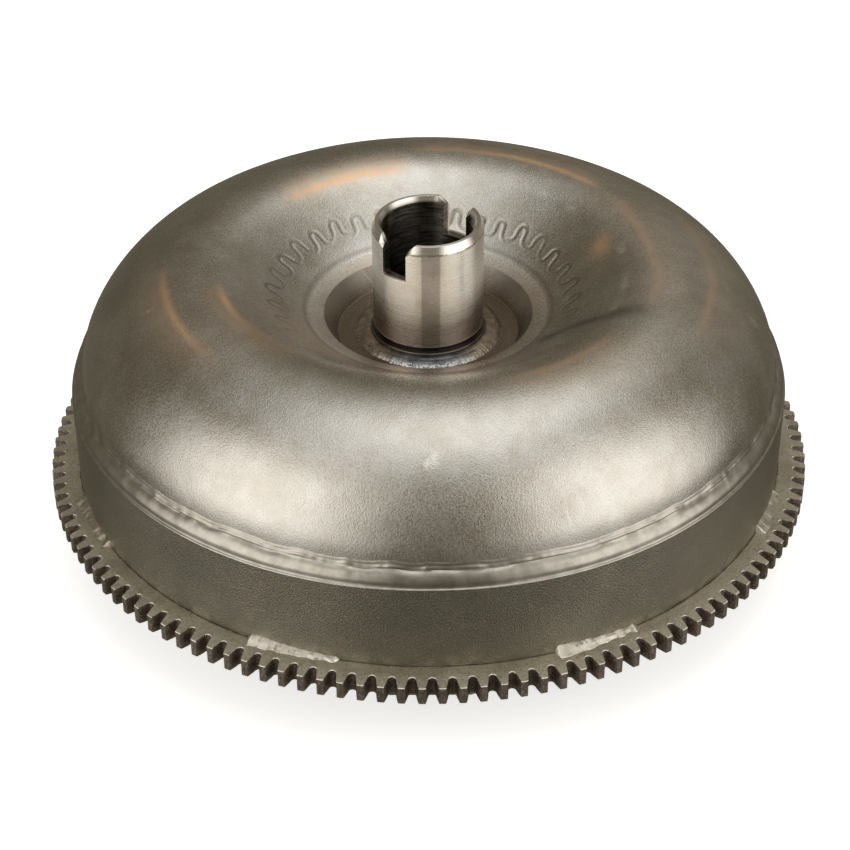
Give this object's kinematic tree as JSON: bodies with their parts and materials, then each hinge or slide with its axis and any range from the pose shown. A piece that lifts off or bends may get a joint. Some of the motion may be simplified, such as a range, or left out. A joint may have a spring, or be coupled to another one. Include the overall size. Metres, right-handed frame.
{
  "type": "torque converter",
  "caption": "Welded hydraulic torque converter: domed impeller shell, dished cover with starter ring gear, slotted pump hub, crank pilot, and turbine, stator and one-way clutch inside.",
  "frame": {"origin": "on the converter's axis, in the plane of the four flexplate drive pads", "axes": "+Z along the axis towards the gearbox (pump hub side); +X through the middle of one drive pad"},
  "size_m": [0.3352, 0.3352, 0.152],
  "materials": {
    "front_cover": "satin, clear-coated",
    "crank_pilot": "turned",
    "pilot_weld": "as welded",
    "drive_lugs": "satin, machined pads",
    "lug_welds": "as welded",
    "drain_plug": "satin",
    "balance_weights": "satin",
    "ring_gear": "dull, light rust",
    "ring_gear_welds": "as welded",
    "seam_weld": "as welded",
    "impeller_shell": "satin, clear-coated",
    "pump_hub": "ground and turned",
    "hub_weld": "as welded",
    "impeller_blades": "satin",
    "impeller_core_ring": "satin",
    "impeller_thrust_washer": "satin",
    "cover_thrust_washer": "satin",
    "turbine_shell": "satin",
    "turbine_blades": "satin",
    "turbine_core_ring": "satin",
    "turbine_hub": "turned",
    "turbine_rivets": "satin",
    "stator_wheel": "as cast",
    "clutch_cam": "ground",
    "front_clutch_cap": "satin",
    "rear_clutch_cap": "satin",
    "front_snap_ring": "oiled",
    "rear_snap_ring": "oiled",
    "stator_thrust_washer": "satin",
    "clutch_springs": "spring steel",
    "clutch_rollers": "ground",
    "inner_race": "ground"
  },
  "bodies": {
    "housing": {"front_cover": "front_cover", "crank_pilot": "crank_pilot", "pilot_weld": "pilot_weld", "drive_lugs": "drive_lugs", "lug_welds": "lug_welds", "drain_plug": "drain_plug", "balance_weights": "balance_weights", "ring_gear": "ring_gear", "ring_gear_welds": "ring_gear_welds", "seam_weld": "seam_weld", "impeller_shell": "impeller_shell", "pump_hub": "pump_hub", "hub_weld": "hub_weld", "impeller_blades": "impeller_blades", "impeller_core_ring": "impeller_core_ring", "impeller_thrust_washer": "impeller_thrust_washer", "cover_thrust_washer": "cover_thrust_washer"},
    "turbine": {"turbine_shell": "turbine_shell", "turbine_blades": "turbine_blades", "turbine_core_ring": "turbine_core_ring", "turbine_hub": "turbine_hub", "turbine_rivets": "turbine_rivets"},
    "inner_race_body": {"inner_race": "inner_race"},
    "stator": {"stator_wheel": "stator_wheel", "clutch_cam": "clutch_cam", "front_clutch_cap": "front_clutch_cap", "rear_clutch_cap": "rear_clutch_cap", "front_snap_ring": "front_snap_ring", "rear_snap_ring": "rear_snap_ring", "stator_thrust_washer": "stator_thrust_washer", "clutch_springs": "clutch_springs"},
    "roller_set": {"clutch_rollers": "clutch_rollers"}
  },
  "joints": [
    {"name": "turbine_spin", "type": "hinge", "parent": "housing", "child": "turbine", "pos_m": [0, 0, 0.045], "axis": [0, 0, 1], "continuous": true},
    {"name": "inner_race_spin", "type": "hinge", "parent": "housing", "child": "inner_race_body", "pos_m": [0, 0, 0.065], "axis": [0, 0, 1], "continuous": true},
    {"name": "stator_freewheel", "type": "hinge", "parent": "inner_race_body", "child": "stator", "pos_m": [0, 0, 0.065], "axis": [0, 0, 1], "continuous": true},
    {"name": "roller_wedge", "type": "hinge", "parent": "stator", "child": "roller_set", "pos_m": [0, 0, 0.065], "axis": [0, 0, 1], "range_deg": [0, 3]}
  ]
}
